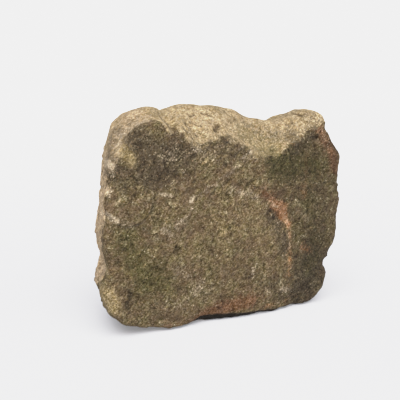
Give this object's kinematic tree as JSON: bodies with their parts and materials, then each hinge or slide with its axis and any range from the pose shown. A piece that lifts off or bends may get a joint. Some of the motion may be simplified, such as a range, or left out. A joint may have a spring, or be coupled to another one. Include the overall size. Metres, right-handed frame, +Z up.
{
  "type": "stone corbel",
  "caption": "Roughly squared block of weathered sandstone with one dressed face and a broken top, for use as a plain corbel.",
  "frame": {"origin": "on the bed that the block stands on, under the middle of its bounding box", "axes": "+X along the block, -Y out of the dressed face, +Z up from the bed"},
  "size_m": [0.321, 0.1106, 0.2557],
  "materials": {
    "sandstone": "weathered sandstone with a dull brown patina, paler where it broke"
  },
  "bodies": {
    "root": {"corbel_stone": "sandstone"}
  },
  "joints": []
}
